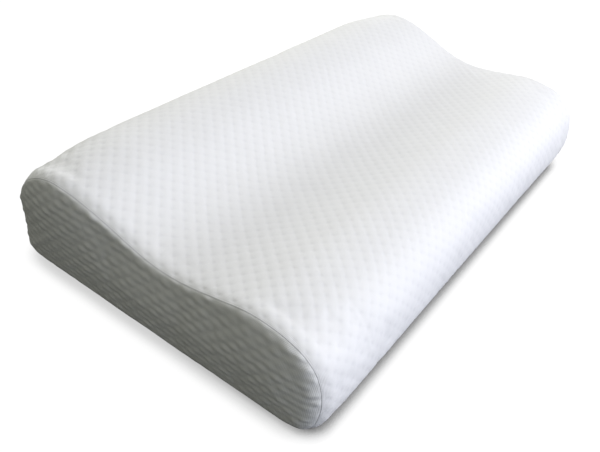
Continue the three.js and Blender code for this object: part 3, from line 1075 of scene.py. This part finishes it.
def metal_material():
    """Nickel-plated die-cast metal with fine brushing, duller where it is handled."""
    n = Nodes("nickel_plate")
    place = n.place()
    scale = n.new("ShaderNodeMapping")
    scale.inputs["Scale"].default_value = (60, 900, 900)
    n.feed(scale.inputs["Vector"], place)
    brush = n.noise(1, 3, scale.outputs[0])
    wear = n.noise(180, 3, place)
    color = n.ramp(wear, (0.3, (0.68, 0.69, 0.71)), (0.7, (0.56, 0.57, 0.58)))
    rough = n.math("ADD", n.range(wear, 0.3, 0.7, 0.2, 0.34), n.math("MULTIPLY", brush, 0.12))
    n.bump(brush, 0.02)
    return n.set(color=color, rough=rough, metal=1.0)


PAINTED_SHADOW_REACH = 0.018  # metres that the painted contact shadow spreads
PAINTED_CONTACT_SHADOW = 0.38
PAINTED_FRONT_SHADOW = 0.67  # how much more painted shadow there is under the front roll
DARKEST_PAINTED_SHADOW = 0.12


def floor_material():
    """A floor that glows plain white, with a contact shadow painted into its glow where something
    stands close to it.
    """
    n = Nodes("studio_floor")
    near = n.new("ShaderNodeAmbientOcclusion", samples=8)
    near.inputs["Distance"].default_value = PAINTED_SHADOW_REACH
    painted_contact_darkness = n.math("POWER", n.range(near.outputs["AO"], 0.4, 0.97, 1.0, 0.0), 2.2)
    place = n.new("ShaderNodeSeparateXYZ")
    n.feed(place.inputs[0], n.place())
    x, y, _ = place.outputs
    # Painted shadow: the glow is darkened more under the front roll, picked out by place on the
    # floor.
    painted_front_shadow_mask = n.math("MULTIPLY", n.range(x, -0.3, -0.28, 0, 1), n.range(y, -0.1, 0.0, 1, 0))
    painted_front_shadow_mask = n.math("MULTIPLY", painted_front_shadow_mask, n.range(x, 0.265, 0.29, 1, 0))
    shade = n.math("MULTIPLY_ADD", painted_front_shadow_mask, -PAINTED_FRONT_SHADOW, -PAINTED_CONTACT_SHADOW)
    light = n.math("MAXIMUM", n.math("MULTIPLY_ADD", painted_contact_darkness, shade, 1.0), DARKEST_PAINTED_SHADOW)
    n.feed(n.shader.inputs["Emission Color"], light)
    n.shader.inputs["Emission Strength"].default_value = 1.0
    color = n.ramp(n.noise(2, 2), (0.3, (0.05, 0.05, 0.05)), (0.7, (0.06, 0.06, 0.06)))
    return n.set(color=color, rough=0.9, specular=0.0)


# ---------- putting the pieces together ----------

def dress(piece, material, slot, *nodes, body="pillow"):
    """Gives a piece its material, its body and the CAD nodes that it stands for."""
    piece.data.materials.clear()
    piece.data.materials.append(material)
    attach(piece, body)
    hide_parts(*nodes)
    return piece


SIDES = {"left": -1, "right": 1}
HALVES = ("upper", "lower")

LINER_END_SHARE = 0.95  # a liner end's area as a share of a cover end's


def build_core_and_liner():
    foam = dress(make_foam(), foam_material(), "foam", "foam_core")
    jersey = weave_material("plain_jersey", 0.7, 0.55, (0.86, 0.86, 0.84), (0.78, 0.78, 0.76), 0.9)
    wrap = dress(make_liner_wrap(), jersey, "liner", "liner_wrap")
    for label, side in SIDES.items():
        end = dress(make_liner_end(label, side), jersey, "liner", f"liner_end_{label}")
        panel_area() * LINER_END_SHARE


def build_cover():
    bright, shade = (0.805, 0.805, 0.80), (0.685, 0.685, 0.695)
    knit = knit_material("lozenge_knit", WRAP_REPEAT, 0.3 * WRAP_RELIEF, bright, shade, 1.0)
    # Painted shade: the end panels' knit is coloured greyer than the wrap's, so that they look as
    # if in shade.
    shaded_panel_color, shaded_panel_dark = (0.70, 0.704, 0.692), (0.59, 0.594, 0.59)
    relief = 0.1 * PANEL_RELIEF
    panel_knit = knit_material("lozenge_knit_panel", PANEL_REPEAT, relief, shaded_panel_color, shaded_panel_dark, 0.3)
    wrap = dress(make_cover_wrap(wrap_swell()), knit, "cover", "cover_wrap")
    for label, side in SIDES.items():
        made = make_cover_end(label, side)
        end = dress(made, panel_knit, "cover", f"cover_end_{label}")
        panel_area()
        dress(make_welt(label, side), welt_material(), "welt", f"seam_welt_{label}")


def build_zipper():
    bright, shade = (0.80, 0.80, 0.80), (0.70, 0.70, 0.71)
    tape_cloth = weave_material("zipper_twill", 0.6, 0.5, bright, shade, 0.75)
    thread = thread_material()
    nylon = nylon_material()
    metal = metal_material()
    for label in HALVES:
        tape = dress(make_tape(label), tape_cloth, "tape", f"zipper_tape_{label}")
        dress(make_coil(label), nylon, "coil", f"zipper_coil_{label}")
        stop = copied(f"nickel_top_stop_{label}", f"zipper_top_stop_{label}", 0.35)
        dress(stop, metal, "metal", f"zipper_top_stop_{label}")
    stop = copied("nickel_bottom_stop", "zipper_bottom_stop", 0.4)
    dress(stop, metal, "metal", "zipper_bottom_stop")
    slider = copied("nickel_slider", "zipper_slider", 0.22)
    dress(slider, metal, "metal", "zipper_slider", body="slider")
    pull_tab = copied("nickel_pull_tab", "zipper_pull_tab", 0.16)
    dress(pull_tab, metal, "metal", "zipper_pull_tab", body="pull_tab")
    dress(make_topstitch(), thread, "thread", "zipper_topstitch")
    for label in SIDES:
        dress(make_bar_tack(label), thread, "thread", f"bar_tack_{label}")
    bright, shade = (0.86, 0.86, 0.86), (0.80, 0.80, 0.81)
    satin = weave_material("satin", 0.35, 0.22, bright, shade, 0.42, sheen=0.4, depth=0.04)
    care_label = dress(make_label(), satin, "label", "care_label")


# ---------- camera, light and floor ----------

CAMERA_PLACE = (-0.6122, -0.2893, 0.4542)
CAMERA_AZIMUTH = -61.58
CAMERA_ELEVATION = 36.79
CAMERA_ROLL = -10.64
CAMERA_LENS = 42.75
CAMERA_SENSOR = 36


def build_camera():
    azimuth, elevation = math.radians(CAMERA_AZIMUTH), math.radians(CAMERA_ELEVATION)
    roll = math.radians(CAMERA_ROLL)
    level = math.cos(elevation)
    back = Vector((math.sin(azimuth) * level, -math.cos(azimuth) * level, math.sin(elevation)))
    right = (-back).cross(Vector((0, 0, 1))).normalized()
    down = (-back).cross(right)
    tilted_right = right * math.cos(roll) + down * math.sin(roll)
    tilted_up = right * math.sin(roll) - down * math.cos(roll)
    camera = add_object("camera", bpy.data.cameras.new("camera"))
    turn = Matrix((tilted_right, tilted_up, back)).transposed().to_4x4()
    camera.matrix_world = Matrix.Translation(CAMERA_PLACE) @ turn
    camera.data.lens = CAMERA_LENS
    camera.data.sensor_width = CAMERA_SENSOR
    camera.data.sensor_fit = "HORIZONTAL"
    camera.data.clip_start = 0.01
    bpy.context.scene.camera = camera


# The lights: a place, the height aimed at, a size, a power in watts and a colour.
LIGHTS = {
    "key": ((1.07, -1.65, 2.03), 0.05, (1.1, 0.8), 65.6, (0.955, 0.955, 1.045)),
    "front": ((-0.15, -1.47, 0.2), 0.05, (1.0, 0.35), 5.7, (0.89, 0.96, 1.22)),
    "rear": ((0.59, 1.28, 0.3), 0.08, (0.7, 0.3), 11.6, (1, 1, 0.97)),
}
SKY_STRENGTH = 0.395
FLOOR_SIZE = 12


def soft_light(name, place, aim, size, power, color):
    lamp = bpy.data.lights.new(name, "AREA")
    lamp.shape = "RECTANGLE"
    lamp.size, lamp.size_y = size
    lamp.energy = power
    lamp.color = color
    holder = add_object(name, lamp)
    holder.location = place
    holder.visible_camera = False
    towards = Vector((0, 0, aim)) - Vector(place)
    holder.rotation_euler = towards.to_track_quat("-Z", "Y").to_euler()


def sky_light(scene):
    """A soft sky that lights from above only, and that the camera sees as plain white."""
    n = Nodes("studio", bpy.data.worlds)
    scene.world = n.made
    height = n.new("ShaderNodeSeparateXYZ")
    n.feed(height.inputs[0], n.new("ShaderNodeTexCoord").outputs["Generated"])
    half = n.range(height.outputs["Z"], -1, 1, 0, 1)
    sky = n.tree.nodes["Background"]
    sky.inputs["Strength"].default_value = SKY_STRENGTH
    n.feed(sky.inputs["Color"], n.ramp(half, (0.46, (0, 0, 0)), (0.54, (0.985, 1.0, 0.9))))
    seen = n.new("ShaderNodeBackground")
    seen.inputs["Color"].default_value = (1, 1, 1, 1)
    mix = n.new("ShaderNodeMixShader")
    by_camera = n.new("ShaderNodeLightPath").outputs["Is Camera Ray"]
    for socket, source in zip(mix.inputs, (by_camera, sky.outputs[0], seen.outputs[0])):
        n.feed(socket, source)
    n.feed(n.tree.nodes["World Output"].inputs[0], mix.outputs[0])


def build_studio():
    scene = bpy.context.scene
    scene.view_settings.view_transform = "Standard"
    scene.view_settings.look = "None"
    for name, values in LIGHTS.items():
        soft_light(name, *values)
    sky_light(scene)
    bpy.ops.mesh.primitive_plane_add(size=FLOOR_SIZE, location=(0, 0, 0))
    floor = bpy.context.object
    floor.name = "floor"
    floor.data.materials.append(floor_material())
    floor.visible_diffuse = False
    floor.visible_glossy = False


build_camera()
build_studio()
build_core_and_liner()
build_cover()
build_zipper()
